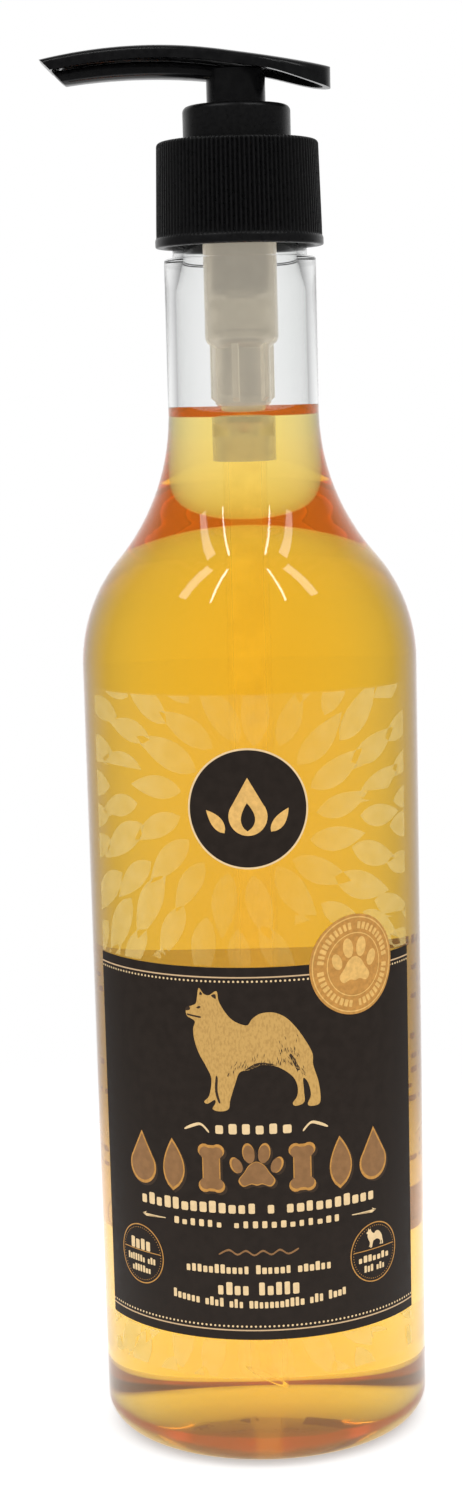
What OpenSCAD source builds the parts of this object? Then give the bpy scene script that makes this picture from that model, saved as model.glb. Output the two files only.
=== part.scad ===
// Pump bottle of liquid shampoo with its lock-down lotion pump.
// Origin: centre of the flat ring the bottle stands on. +Z is up, the spout points to -X,
// and the front label faces -Y. All sizes are in millimetres.

/* [Bottle] */
// Outside diameter of the body
body_d = 64; // [60:0.5:68]
// Height at which the shoulder begins
shoulder_z = 151; // [140:1:160]
// Radius of the outward curve of the shoulder
shoulder_r = 31; // [28:0.5:33]
// Angle the outward curve turns through
shoulder_a = 41; // [36:1:46]
// Radius of the corner between the side and the foot
foot_r = 5.5; // [4:0.5:7]
// Wall thickness of the body
wall = 0.9; // [0.7:0.1:1.2]
// Wall thickness at the top of the plain neck
neck_wall = 1.9; // [1.6:0.1:2.2]

/* [Neck] */
// Outside diameter of the plain neck below the finish
neck_d = 28.4; // [28:0.1:29]
// Height of the step where the plain neck ends
neck_top_z = 226.4; // [224:0.2:229]
// Height of the sealing face at the mouth
mouth_z = 243.9; // [243.4:0.1:244.4]
// Diameter over the neck thread
thread_d = 27.4; // [27.2:0.1:27.4]
// Diameter of the neck under its thread
root_d = 25.1; // [25:0.1:25.2]
// Bore of the mouth
mouth_bore_d = 21.3; // [20.5:0.1:22]
// Rise of the thread in one turn
thread_pitch = 4.233; // [4:0.001:4.4]
// Length of the neck thread in turns
thread_turns = 1.5; // [1.2:0.1:1.6]

/* [Contents] */
// Height of the shampoo's surface
liquid_z = 198; // [150:1:205]

/* [Labels] */
// Height of the labels' lower edge
label_z = 18; // [14:1:24]
// Height of the labels
label_h = 130.3; // [110:1:132]
// Half of the angle that the front label spans
front_half_a = 64.7; // [50:0.1:80]
// Angle by which the front label sits off the front, towards the spout
front_off_a = 1.8; // [0:0.1:4]
// Half of the angle that the back label spans
back_half_a = 66; // [50:1:80]
// Thickness of a label
label_t = 0.1; // [0.08:0.02:0.2]

/* [Closure] */
// Largest diameter over the ribs
closure_d = 31; // [30.6:0.1:32]
// Diameter over the ribs at the top
closure_top_d = 30.1; // [29.8:0.1:30.5]
// Height of the closure's lower edge
closure_z = 228.5; // [227.5:0.1:229.5]
// Number of ribs
ribs = 110; // [60:2:120]
// Depth of a rib
rib_depth = 0.5; // [0.3:0.05:0.6]

/* [Pump] */
// Length of the pump's stroke
stroke = 14.5; // [10:0.5:15]
// Bore that the piston runs in
cylinder_d = 11.7; // [11.5:0.1:11.9]
// Outside diameter of the upper housing
housing_d = 13.8; // [13.6:0.1:14.2]
// Diameter of the head's barrel
barrel_d = 10.9; // [10.5:0.1:11]
// Outside diameter of the stem
stem_d = 6; // [5.8:0.1:6.2]
// Outside diameter of the dip tube
tube_d = 6.2; // [6:0.1:6.4]
// Diameter of the check ball
ball_d = 5; // [4.6:0.1:5.2]
// Wire diameter of the return spring
wire_d = 0.8; // [0.6:0.05:0.9]
// Number of turns of the return spring
spring_turns = 9; // [6:0.5:10]
// Diameter of the lock collar
chaplet_d = 20; // [19:0.5:22]

/* [Head] */
// Distance from the axis to the spout's tip
spout_l = 36; // [32:0.5:40]
// Distance from the axis to the end of the tail
tail_l = 17.5; // [15:0.5:19]
// Height of the highest point of the head
crest_z = 264.6; // [264.4:0.1:265]
// Radius of the arc along the head's top
crest_r = 92; // [85:1:100]
// Width of the head over the barrel
head_w = 17; // [15:0.5:18]
// Width of the head at the spout's tip
tip_w = 9; // [8:0.5:11]

/* [Hidden] */
$fn = 96;

body_r = body_d / 2;
neck_r = neck_d / 2;
root_r = root_d / 2;
mouth_r = mouth_bore_d / 2;
// gap that keeps the shampoo off the bottle's wall
fill_gap = 0.06;
// gap between two pieces that slide or turn on each other
run_gap = 0.05;
// gap between the shampoo and the pump inside it
clear_gap = 0.5;
// gap between faces that rest on each other
face_gap = 0.02;

// the shoulder is two arcs that meet tangentially, and the second one ends upright at the neck
arc1_x = body_r - shoulder_r;
join_x = arc1_x + shoulder_r * cos(shoulder_a);
arc2_r = (join_x - neck_r) / (1 - cos(shoulder_a));
arc2_x = neck_r + arc2_r;
arc2_z = shoulder_z + (shoulder_r + arc2_r) * sin(shoulder_a);
// the foot is a flat ring round a shallow dome
ring_r = 24;
dome_z = 4.5;
dome_r = (ring_r * ring_r + dome_z * dome_z) / (2 * dome_z);
dome_a = asin(ring_r / dome_r);
// the finish: how far the thread's lowest point lies under the mouth, and the widths of its section
thread_drop = 11.9;
thread_base_w = 2.1;
thread_crest_w = 1;

// the stack at the mouth, each piece a hair above the last
flange_r = 13.3;
gasket_t = 1;
flange_z = mouth_z + gasket_t + 2 * face_gap;
flange_t = 1;
plate_z = flange_z + flange_t + face_gap;
plate_t = 1.5;
closure_top_z = plate_z + plate_t;
closure_bore_r = thread_d / 2 + 0.25;
lip_h = 2.1;
lip_r = closure_d / 2 + 0.2;
chaplet_z = closure_top_z + 0.08;
chaplet_top_z = 253.8;
chaplet_edge = 1.1;

// heights and radii inside the pump, from the foot of the housing up
tube_end_z = 7.5;
tube_wall = 0.8;
tail_z = 188.5;
tail_r = 4.5;
tail_h = 10.7;
socket_h = 4.9;
port_r = 1.6;
seat_z = 194.6;
seat_h = 1.6;
chamber_z = 199.8;
chamber_r = 4.3;
lower_r = 5.3;
fins = 6;
fin_r = 6.15;
fin_z = tail_z + tail_h + 1;
fin_t = 1.2;
fin_turn = 17;
cylinder_z = 212.2;
cylinder_r = cylinder_d / 2;
housing_r = housing_d / 2;
collar_r = 7.4;
collar_z = plate_z + 3.6;
recess_r = 6.8;
barrel_z = 221;
barrel_r = barrel_d / 2;
barrel_bore_r = 4.3;
barrel_top_z = 260.4;
socket_z = 248;
stem_r = stem_d / 2;
stem_bore_r = 1.7;
stem_top_z = 256;
tube_r = tube_d / 2;
ball_r = ball_d / 2;
ball_z = seat_z - port_r + (ball_r + run_gap) * sqrt(2);
cage_t = 1.2;
cage_r = 3.3;
bar_t = 0.45;
spring_z = chamber_z + cage_t;
spring_r = 3.72;
spring_top_z = cylinder_z + 0.2;
plug_t = 1.2;
plug_r = 4.6;
piston_z = spring_top_z + plug_t + 0.08;
piston_h = 5.5;
stem_z = spring_top_z + plug_t + face_gap;
port_z = piston_z + 2.6;
// the lock: lugs on the barrel under ledges in the collar, with gaps that let the lugs rise
lugs = 2;
lug_a = 60;
lug_r = 6.4;
lug_z = 247.9;
lug_t = 1.4;
ledge_z = collar_z + 0.1;
ledge_t = 1.5;
ledge_r = barrel_r + 0.3;
gap_a = 74;

// the head: its side outline and its plan
head_rim = 2.5;
head_wall = 1.4;
crest_x = -17;
// slope of the straight stretch from the crest's arc to the tail's end
tail_slope = 0.155;
widest_x = 2;
flare_x = 6;
tail_power = 2.4;
tail_blunt = 0.0004;
// how much deeper the rim hangs at the tail's end, and where it starts to
tail_drop = 1.3;
drop_x = 4;
// how square the head's and the nozzle's sections are: 1 is an ellipse, 0 a rectangle
crown_power = 0.42;
nozzle_power = 0.7;
tip_z = crest_z - crest_r + sqrt(crest_r * crest_r - pow(spout_l + crest_x, 2));
nozzle_w = 6.6;
nozzle_tip_w = 5.4;
nozzle_z = 258.9;
nozzle_r = 112;
channel_r = 0.95;
channel_z = 260.4;
channel_arc_r = 100;

// points of an arc about (x, z), from one angle to another
function arc(x, z, r, a0, a1, n = 24) = [for (i = [0:n]) let (a = a0 + (a1 - a0) * i / n)
    [x + r * cos(a), z + r * sin(a)]];
// a smooth step from 0 to 1 as x goes from a to b
function ease(x, a, b) = let (t = min(1, max(0, (x - a) / (b - a)))) t * t * (3 - 2 * t);
function reversed(list) = [for (i = [len(list) - 1:-1:0]) list[i]];
// a power that keeps its number's sign
function spow(v, p) = sign(v) * pow(abs(v), p);

// the bottle's outline set in by g, and by neck_g at its top: the dome, then foot, side and shoulder
function dome(g) = [for (i = [0:8]) let (a = dome_a * i / 8)
    [(dome_r + g) * sin(a), dome_z - dome_r + (dome_r + g) * cos(a)]];
function side(g, neck_g) = concat(
    arc(body_r - foot_r, foot_r, foot_r - g, -90, 0, 12),
    arc(arc1_x, shoulder_z, shoulder_r - g, 0, shoulder_a),
    [for (i = [1:24]) let (a = 180 + shoulder_a * (1 - i / 24), r = arc2_r + g + (neck_g - g) * i / 24)
        [arc2_x + r * cos(a), arc2_z + r * sin(a)]]);

// a solid swept through rings of points, closed at both ends
module swept(rings) {
    n = len(rings[0]);
    last = len(rings) - 1;
    polyhedron(
        points = [for (ring = rings) each ring],
        faces = concat(
            [for (i = [0:last - 1], k = [0:n - 1])
                [i * n + k, i * n + (k + 1) % n, (i + 1) * n + (k + 1) % n, (i + 1) * n + k]],
            [[for (k = [n - 1:-1:0]) k]],
            [[for (k = [0:n - 1]) last * n + k]]),
        convexity = 8);
}

// a thread of trapezoid section that climbs around the axis; a negative height points inwards
module thread(r, height, base_w, crest_w, z, turns) {
    steps = ceil(turns * 40);
    sink = -0.3 * sign(height);
    section = [[sink, -base_w / 2], [1, -crest_w / 2], [1, crest_w / 2], [sink, base_w / 2]];
    order = height > 0 ? [0, 1, 2, 3] : [3, 2, 1, 0];
    swept([for (i = [0:steps]) let (t = i / steps, a = 360 * turns * t,
                                    fade = min(1, 0.05 + 6 * t * turns, 0.05 + 6 * (1 - t) * turns))
        [for (k = order) let (p = section[k], out = r + (p[0] == 1 ? height * fade : p[0]))
            [out * cos(a), out * sin(a), z + thread_pitch * turns * t + p[1]]]]);
}

// a solid of revolution with straight walls between two radii
module ring(r_in, r_out, z0, z1) {
    rotate_extrude() polygon([[r_in, z0], [r_out, z0], [r_out, z1], [r_in, z1]]);
}

module bore(r, z0, z1) {
    translate([0, 0, z0]) cylinder(r = r, h = z1 - z0);
}

module bottle() {
    color([0.93, 0.96, 0.97, 0.35]) union() {
        rotate_extrude() polygon(concat(
            dome(0), side(0, 0),
            arc(neck_r - 1, neck_top_z - 1, 1, 0, 90, 6),
            [[root_r, neck_top_z]],
            arc(root_r - 0.4, mouth_z - 0.4, 0.4, 0, 90, 4),
            [[mouth_r, mouth_z], [mouth_r, neck_top_z], [neck_r - neck_wall, neck_top_z - 6]],
            reversed(side(wall, neck_wall)), reversed(dome(wall))));
        thread(root_r, (thread_d - root_d) / 2, thread_base_w, thread_crest_w,
               mouth_z - thread_drop, thread_turns);
    }
}

module shampoo() {
    inset = wall + fill_gap;
    surface_r = neck_r - neck_wall - fill_gap;
    color([0.87, 0.66, 0.18, 0.8]) difference() {
        rotate_extrude() polygon(concat(
            dome(inset), [for (p = side(inset, neck_wall + fill_gap)) if (p[1] < liquid_z) p],
            [[surface_r, liquid_z], [0, liquid_z]]));
        bore(tube_r + clear_gap, tube_end_z - 3 * clear_gap, liquid_z + 1);
        bore(tail_r + clear_gap, tail_z - clear_gap, liquid_z + 1);
    }
}

// a curved sheet on the bottle, centred on an angle about the axis
module label(centre_a, half_a, tint) {
    color(tint) rotate([0, 0, centre_a - half_a]) rotate_extrude(angle = 2 * half_a)
        translate([body_r + face_gap, label_z]) square([label_t, label_h]);
}

module front_label() {
    label(-90 - front_off_a, front_half_a, [0.2, 0.16, 0.14]);
}

module back_label() {
    label(90, back_half_a, [0.85, 0.76, 0.6]);
}

module closure() {
    rib_out = closure_d / 2 + rib_depth;
    rib_in = closure_top_d / 2 - rib_depth;
    // the core stands a little out of the grooves, so that the ribs join it
    core_r = rib_in + 0.08;
    top_r = closure_top_d / 2;
    edge_r = 1.2;
    color([0.06, 0.06, 0.06]) union() {
        difference() {
            union() {
                intersection() {
                    translate([0, 0, closure_z]) linear_extrude(closure_top_z - closure_z)
                        polygon([for (i = [0:2 * ribs - 1]) let (a = 180 * i / ribs)
                            (i % 2 == 0 ? rib_out : rib_in) * [cos(a), sin(a)]]);
                    rotate_extrude() polygon(concat(
                        [[0, closure_z + 0.5], [closure_d / 2, closure_z + 0.5]],
                        arc(top_r - edge_r, closure_top_z - edge_r, edge_r, 0, 90, 6),
                        [[0, closure_top_z]]));
                }
                rotate_extrude() polygon(concat(
                    [[0, closure_z], [lip_r - 0.3, closure_z], [lip_r, closure_z + 0.3],
                     [lip_r, closure_z + lip_h - 0.7], [core_r, closure_z + lip_h]],
                    arc(core_r - edge_r, closure_top_z - edge_r, edge_r, 0, 90, 6),
                    [[0, closure_top_z]]));
            }
            bore(closure_bore_r, closure_z - 1, plate_z);
            bore(collar_r + 0.3, plate_z - 1, closure_top_z + 1);
        }
        thread(closure_bore_r, root_r + 0.3 - closure_bore_r, 1.6, 0.8,
               mouth_z - thread_drop - 1.6, thread_turns - 0.15);
    }
}

module gasket() {
    color([0.9, 0.9, 0.88])
        ring(housing_r + 0.3, flange_r, mouth_z + face_gap, mouth_z + face_gap + gasket_t);
}

module housing() {
    color([0.9, 0.9, 0.9, 0.8]) difference() {
        union() {
            rotate_extrude() polygon([
                [0, tail_z], [tail_r, tail_z], [tail_r, tail_z + tail_h], [lower_r, tail_z + tail_h + 0.8],
                [lower_r, cylinder_z - 2], [housing_r - 0.3, cylinder_z - 0.8],
                [housing_r, cylinder_z], [housing_r, flange_z], [flange_r, flange_z],
                [flange_r, flange_z + flange_t], [collar_r, flange_z + flange_t],
                [collar_r, collar_z], [0, collar_z]]);
            for (i = [0:fins - 1])
                rotate([90, 0, fin_turn + 360 * i / fins]) translate([0, 0, -fin_t / 2]) linear_extrude(fin_t)
                    polygon([[lower_r - 1, fin_z], [lower_r - 0.1, fin_z],
                        [fin_r, fin_z + 0.8], [fin_r, cylinder_z - 1.1], [lower_r - 1, cylinder_z - 1.1]]);
        }
        bore(tube_r + face_gap, tail_z - 1, tail_z + socket_h);
        bore(port_r, tail_z, seat_z + 0.1);
        translate([0, 0, seat_z]) cylinder(r1 = port_r, r2 = port_r + seat_h, h = seat_h);
        bore(port_r + seat_h, seat_z + seat_h, cylinder_z);
        bore(chamber_r, chamber_z, cylinder_z + 0.1);
        bore(cylinder_r, cylinder_z, collar_z + 1);
        bore(recess_r, lug_z - 0.5, collar_z + 1);
        // the vent that lets air in as shampoo is drawn out
        translate([0, 0, flange_z - 4]) rotate([0, 90, 0]) cylinder(r = 0.6, h = 10);
    }
}

module dip_tube() {
    color([0.88, 0.88, 0.86, 0.7]) difference() {
        ring(tube_r - tube_wall, tube_r, tube_end_z, tail_z + socket_h - 0.2);
        // the slanted foot keeps the tube from sealing on the bottle's floor
        translate([0, 0, tube_end_z]) rotate([0, 35, 0]) translate([-10, -10, -20]) cube([20, 20, 20]);
    }
}

module chaplet() {
    chaplet_r = chaplet_d / 2;
    color([0.08, 0.08, 0.08]) difference() {
        rotate_extrude() polygon(concat(
            [[0, chaplet_z], [chaplet_r - 0.3, chaplet_z], [chaplet_r, chaplet_z + 0.3]],
            arc(chaplet_r - chaplet_edge, chaplet_top_z - chaplet_edge, chaplet_edge, 0, 90, 8),
            [[0, chaplet_top_z]]));
        bore(collar_r + face_gap, chaplet_z - 1, ledge_z);
        bore(ledge_r, chaplet_z, chaplet_top_z + 1);
        bore(recess_r, ledge_z + ledge_t, chaplet_top_z + 1);
        for (i = [0:lugs - 1])
            rotate([0, 0, 360 * i / lugs - gap_a / 2]) rotate_extrude(angle = gap_a)
                translate([ledge_r - 1, ledge_z - 0.5]) square([recess_r - ledge_r + 0.9, ledge_t + 1]);
    }
}

// height of the head's top and of its lower edge at a place along it
slope_a = atan(tail_slope);
slope_x = crest_x + crest_r * sin(slope_a);
function arc_z(x) = crest_z - crest_r + sqrt(crest_r * crest_r - pow(x - crest_x, 2));
function top_z(x) = x < slope_x ? arc_z(x) : arc_z(slope_x) - tail_slope * (x - slope_x);
function rim_z(x) = top_z(x) - head_rim - tail_drop * ease(x, drop_x, tail_l);
// half of the head's width at a place along it, set in by g
function half_w(x, g) =
    (tip_w / 2 - g + (head_w - tip_w) / 2 * ease(x, -spout_l, flare_x)) * tail_share(x, g);
// the share of the width that is left as the tail rounds off, a little over none at its end
function tail_share(x, g) = x < widest_x ? 1
    : sqrt(max(tail_blunt, 1 - pow((x - widest_x) / (tail_l - widest_x - g), tail_power)));
// a crowned section with an open foot
function crown(x, g, foot_z) = let (w = half_w(x, g), h = top_z(x) - g - foot_z)
    [for (i = [0:20]) let (a = 180 * i / 20)
        [x, -w * spow(cos(a), crown_power), foot_z + h * spow(sin(a), crown_power)]];

module tip_cut() {
    translate([-spout_l, 0, tip_z]) rotate([0, -45, 0]) translate([-20, -20, -20]) cube([20, 40, 40]);
}

module actuator_shell() {
    steps = 40;
    inner_x = -spout_l + 4.6;
    color([0.05, 0.05, 0.05]) difference() {
        swept([for (i = [0:steps]) let (x = -spout_l - 1 + (spout_l + 1 + tail_l) * sin(90 * i / steps))
            crown(x, 0, rim_z(x))]);
        swept([for (i = [0:steps]) let (x = inner_x + (tail_l - head_wall - inner_x) * sin(90 * i / steps))
            crown(x, head_wall, rim_z(x) - 2)]);
        tip_cut();
    }
}

module actuator_core() {
    steps = 24;
    color([0.07, 0.07, 0.07]) difference() {
        union() {
            bore(barrel_r, barrel_z, barrel_top_z);
            for (i = [0:lugs - 1])
                rotate([0, 0, 360 * i / lugs - lug_a / 2]) rotate_extrude(angle = lug_a)
                    translate([barrel_r - 1, lug_z]) square([lug_r - barrel_r + 1, lug_t]);
            swept([for (i = [0:steps]) let (
                    x = -spout_l - 1 + (spout_l - 2) * i / steps,
                    w = (nozzle_w + (nozzle_tip_w - nozzle_w) * -x / spout_l) / 2,
                    foot = nozzle_z - pow(x - crest_x, 2) / 2 / nozzle_r,
                    h = (top_z(x) - head_rim - face_gap * 2 - foot) / 2)
                [for (k = [0:23]) let (a = -15 * k)
                    [x, w * spow(cos(a), nozzle_power), foot + h + h * spow(sin(a), nozzle_power)]]]);
        }
        bore(barrel_bore_r, barrel_z - 1, socket_z);
        bore(stem_r + run_gap, socket_z - 1, stem_top_z + 0.1);
        bore(stem_bore_r, stem_top_z, channel_z - channel_r);
        // the channel curves over and down to the spout's tip
        translate([crest_x, 0, channel_z - channel_arc_r]) rotate([90, 0, 0]) rotate([0, 0, 80])
            rotate_extrude(angle = 26) translate([channel_arc_r, 0]) circle(r = channel_r, $fn = 32);
        tip_cut();
    }
}

module stem() {
    color([0.92, 0.92, 0.9]) difference() {
        ring(stem_bore_r, stem_r, stem_z, stem_top_z);
        for (a = [0, 90])
            translate([0, 0, port_z]) rotate([0, 90, a]) translate([0, 0, -5]) cylinder(r = 0.7, h = 10);
    }
}

module stem_plug() {
    color([0.85, 0.85, 0.84]) rotate_extrude() polygon([
        [0, spring_top_z - 2], [2.4, spring_top_z - 2], [2.9, spring_top_z - 1.4],
        [2.9, spring_top_z], [plug_r, spring_top_z], [plug_r, spring_top_z + plug_t],
        [stem_bore_r, spring_top_z + plug_t], [stem_bore_r, port_z - 1.2], [0, port_z - 1.2]]);
}

module piston() {
    lip_r = cylinder_r - run_gap;
    bore_r = stem_r + run_gap;
    waist_r = cylinder_r - 1.2;
    color([0.95, 0.95, 0.93]) translate([0, 0, piston_z]) rotate_extrude() polygon([
        [bore_r, 0.3], [bore_r + 0.3, 0], [4.3, 0], [4.5, 0.9], [lip_r - 0.5, 0.9], [lip_r - 0.5, 0],
        [lip_r, 0], [lip_r, 0.9], [waist_r, 1.9], [waist_r, piston_h - 1.9], [lip_r, piston_h - 0.9],
        [lip_r, piston_h], [lip_r - 0.5, piston_h], [4.1, piston_h - 1.4], [4.1, piston_h - 0.2],
        [bore_r, piston_h - 0.2]]);
}

module spring() {
    wire_r = wire_d / 2;
    z0 = spring_z + wire_r + face_gap;
    rise = spring_top_z - spring_z - wire_d - 2 * face_gap;
    steps = 18 * spring_turns;
    color([0.7, 0.7, 0.72]) swept([for (i = [0:steps]) let (a = 20 * i)
        [for (k = [0:7]) let (b = 45 * k, r = spring_r + wire_r * cos(b))
            [r * cos(a), r * sin(a), z0 + rise * i / steps + wire_r * sin(b)]]]);
}

module ball() {
    color([0.75, 0.75, 0.78]) translate([0, 0, ball_z]) sphere(r = ball_r);
}

module ball_cage() {
    color([0.88, 0.88, 0.86]) union() {
        ring(cage_r, chamber_r - face_gap, chamber_z + face_gap, spring_z);
        for (a = [0, 90])
            rotate([0, 0, a]) translate([-cage_r - 0.3, -0.5, spring_z - bar_t]) cube([2 * cage_r + 0.6, 1, bar_t]);
    }
}

bottle();
shampoo();
front_label();
back_label();
closure();
gasket();
housing();
dip_tube();
chaplet();
actuator_shell();
actuator_core();
stem();
stem_plug();
piston();
spring();
ball();
ball_cage();
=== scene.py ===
"""A pump bottle of pet shampoo: clear bottle, amber liquid, printed labels and a black lotion pump."""
import random
from math import asin, atan, copysign, cos, degrees, floor, pi, radians, sin, sqrt, tan

import bmesh
import bpy
from mathutils import Matrix, Vector


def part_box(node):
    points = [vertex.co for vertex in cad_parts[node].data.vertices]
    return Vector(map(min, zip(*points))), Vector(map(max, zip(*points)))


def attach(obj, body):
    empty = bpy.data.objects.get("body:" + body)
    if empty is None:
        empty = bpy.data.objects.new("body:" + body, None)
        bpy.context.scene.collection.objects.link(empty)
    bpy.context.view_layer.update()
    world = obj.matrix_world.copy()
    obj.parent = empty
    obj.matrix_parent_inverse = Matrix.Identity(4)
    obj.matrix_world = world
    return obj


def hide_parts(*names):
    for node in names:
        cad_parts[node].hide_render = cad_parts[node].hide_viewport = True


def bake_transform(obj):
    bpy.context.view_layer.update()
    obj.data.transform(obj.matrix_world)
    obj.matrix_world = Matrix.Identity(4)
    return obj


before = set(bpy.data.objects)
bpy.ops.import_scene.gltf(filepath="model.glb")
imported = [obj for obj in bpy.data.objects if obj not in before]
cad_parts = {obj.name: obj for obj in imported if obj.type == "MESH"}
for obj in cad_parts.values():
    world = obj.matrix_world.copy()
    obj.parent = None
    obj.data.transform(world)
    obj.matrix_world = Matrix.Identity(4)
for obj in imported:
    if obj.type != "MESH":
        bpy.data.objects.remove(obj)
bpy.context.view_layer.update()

MM = 0.001

# ---- sizes, in millimetres, from the frame
bottle_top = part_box("bottle")[1] / MM
BODY_R = bottle_top.x
MOUTH_Z = bottle_top.z
LIQUID_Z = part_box("shampoo")[1].z / MM
LABEL_Z0, LABEL_Z1 = (corner.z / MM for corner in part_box("front_label"))
CLOSURE_Z0, CLOSURE_Z1 = (corner.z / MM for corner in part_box("closure"))
SPOUT_X, TAIL_X = (corner.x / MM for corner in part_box("actuator_shell"))
CREST_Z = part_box("actuator_shell")[1].z / MM
HOUSING_Z0, HOUSING_Z1 = (corner.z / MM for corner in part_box("housing"))
TUBE_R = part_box("dip_tube")[1].y / MM
TUBE_Z0, TUBE_Z1 = (corner.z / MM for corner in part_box("dip_tube"))
WALL = 0.9
NECK_WALL = 1.9
FOOT_R = 5.5
SHOULDER_Z = 151.0
SHOULDER_R = 31.0
SHOULDER_A = 41.0
NECK_R = 14.2
NECK_TOP_Z = 226.4
ROOT_R = 12.55
BORE_R = 10.65
RING_R = 24.0
DOME_Z = 4.5

# ---- camera, floor and light
CAMERA_Y = -0.5059
CAMERA_Z = 0.2009
CAMERA_PITCH = 10.79
CAMERA_ROLL = 1.40
CAMERA_LENS = 63.26
CAMERA_SHIFT = (-0.0160, 0.0998)
# how the bright card behind the bottle fades, by the forward part of a ray's direction
CARD_EDGE, CARD_FULL = 0.40, 1.00
CARD_DARK, CARD_BRIGHT = 0.14, 1.02


def add_object(name, data):
    thing = bpy.data.objects.new(name, data)
    bpy.context.scene.collection.objects.link(thing)
    return thing


def make_camera():
    data = bpy.data.cameras.new("camera")
    data.lens = CAMERA_LENS
    data.sensor_width = 36.0
    data.sensor_fit = "AUTO"
    data.shift_x, data.shift_y = CAMERA_SHIFT
    data.clip_start = 0.01
    data.clip_end = 20.0
    camera = add_object("camera", data)
    tilt = Matrix.Rotation(radians(90 - CAMERA_PITCH), 4, "X")
    roll = Matrix.Rotation(radians(-CAMERA_ROLL), 4, "Z")
    camera.matrix_world = Matrix.Translation((0, CAMERA_Y, CAMERA_Z)) @ tilt @ roll
    bpy.context.scene.camera = camera


def area_light(name, place, target, size, watts):
    data = bpy.data.lights.new(name, "AREA")
    data.shape = "RECTANGLE"
    data.size, data.size_y = size
    data.energy = watts
    light = add_object(name, data)
    light.location = place
    light.rotation_euler = (Vector(target) - Vector(place)).to_track_quat("-Z", "Y").to_euler()


def add_node(tree, kind, **inputs):
    """A shader node with some inputs set; an underscore stands for the space in an input's name."""
    node = tree.nodes.new("ShaderNode" + kind)
    for key, value in inputs.items():
        node.inputs[key.replace("_", " ")].default_value = value
    return node


def wire(source, output, target, socket):
    """Links an output of one node to an input of another."""
    source.id_data.links.new(source.outputs[output], target.inputs[socket])


def make_world():
    """A white surround; reflected and refracted rays see it fade away from the card behind the bottle."""
    world = bpy.data.worlds.new("studio")
    bpy.context.scene.world = world
    world.use_nodes = True
    world.cycles.sampling_method = "NONE"
    tree = world.node_tree
    background = tree.nodes["Background"]
    background.inputs["Color"].default_value = (1, 1, 1, 1)
    place = add_node(tree, "TexCoord")
    split = add_node(tree, "SeparateXYZ")
    card = add_node(tree, "MapRange", From_Min=CARD_EDGE, From_Max=CARD_FULL, To_Min=CARD_DARK,
                    To_Max=CARD_BRIGHT)
    path = add_node(tree, "LightPath")
    bent = add_node(tree, "Math")
    bent.operation = "MAXIMUM"
    strength = add_node(tree, "Mix", A=1.0)
    wire(place, "Generated", split, "Vector")
    wire(split, "Y", card, "Value")
    wire(path, "Is Glossy Ray", bent, 0)
    wire(path, "Is Transmission Ray", bent, 1)
    wire(bent, "Value", strength, "Factor")
    wire(card, "Result", strength, "B")
    wire(strength, "Result", background, "Strength")


# ---- mesh helpers
def finish_mesh(name, mesh, body, slot, material, whole=False, sharp=32):
    """Turns a mesh in millimetres into a smooth piece on a body; a whole one replaces its slot's CAD node."""
    mesh.transform(Matrix.Scale(MM, 4))
    mesh.update()
    mesh.validate()
    for polygon in mesh.polygons:
        polygon.use_smooth = True
    mesh.set_sharp_from_angle(angle=radians(sharp))
    piece = add_object(name, mesh)
    mesh.materials.append(material)
    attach(piece, body)
    if whole:
        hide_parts(slot)
    return piece


def angles(n):
    """Angles of n equal steps round a circle."""
    return [2 * pi * k / n for k in range(n)]


def polar(r, a, z):
    """The point at radius r, angle a in radians and height z."""
    return (r * cos(a), r * sin(a), z)


def arc(x, z, r, a0, a1, n=24):
    """Points of an arc about (x, z), from one angle in degrees to another."""
    angles = [radians(a0 + (a1 - a0) * i / n) for i in range(n + 1)]
    return [(x + r * cos(a), z + r * sin(a)) for a in angles]


def ease(x, a, b):
    t = min(1.0, max(0.0, (x - a) / (b - a)))
    return t * t * (3 - 2 * t)


def spow(v, p):
    return copysign(abs(v) ** p, v)


def revolved(name, profile, segments=160, closed=False):
    """A surface of revolution; profile points on the axis become poles."""
    mesh = bpy.data.meshes.new(name)
    verts, rings = [], []
    for r, z in profile:
        if r < 1e-6:
            rings.append([len(verts)] * segments)
            verts.append((0, 0, z))
        else:
            rings.append([len(verts) + k for k in range(segments)])
            verts += [polar(r, a, z) for a in angles(segments)]
    pairs = list(zip(rings, rings[1:])) + ([(rings[-1], rings[0])] if closed else [])
    faces = []
    for low, high in pairs:
        for k in range(segments):
            corner = [low[k], low[(k + 1) % segments], high[(k + 1) % segments], high[k]]
            face = list(dict.fromkeys(corner))
            if len(face) > 2:
                faces.append(face)
    mesh.from_pydata(verts, [], faces)
    return mesh


def lofted(name, rings, caps=True):
    """A skin through rings of points that all have the same number of points."""
    mesh = bpy.data.meshes.new(name)
    n = len(rings[0])
    faces = [(i * n + k, i * n + (k + 1) % n, (i + 1) * n + (k + 1) % n, (i + 1) * n + k)
             for i in range(len(rings) - 1) for k in range(n)]
    if caps:
        faces += [tuple(range(n - 1, -1, -1)), tuple(range((len(rings) - 1) * n, len(rings) * n))]
    mesh.from_pydata([p for ring in rings for p in ring], [], faces)
    return mesh


def outward(mesh, weld=0.0):
    """Makes the faces of a closed mesh look outwards, after points closer than weld are joined."""
    edit = bmesh.new()
    edit.from_mesh(mesh)
    if weld:
        bmesh.ops.remove_doubles(edit, verts=edit.verts, dist=weld)
    bmesh.ops.recalc_face_normals(edit, faces=edit.faces)
    edit.to_mesh(mesh)
    edit.free()
    return mesh


def skinned(name, rings, body, slot, material, whole=False):
    """A piece made from its rings."""
    return finish_mesh(name, outward(lofted(name, rings)), body, slot, material, whole)


def turned(name, profile, segments, body, slot, material, whole=True, closed=True, sharp=32):
    """A round piece made from its profile."""
    mesh = outward(revolved(name, profile, segments, closed))
    return finish_mesh(name, mesh, body, slot, material, whole, sharp)


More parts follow.
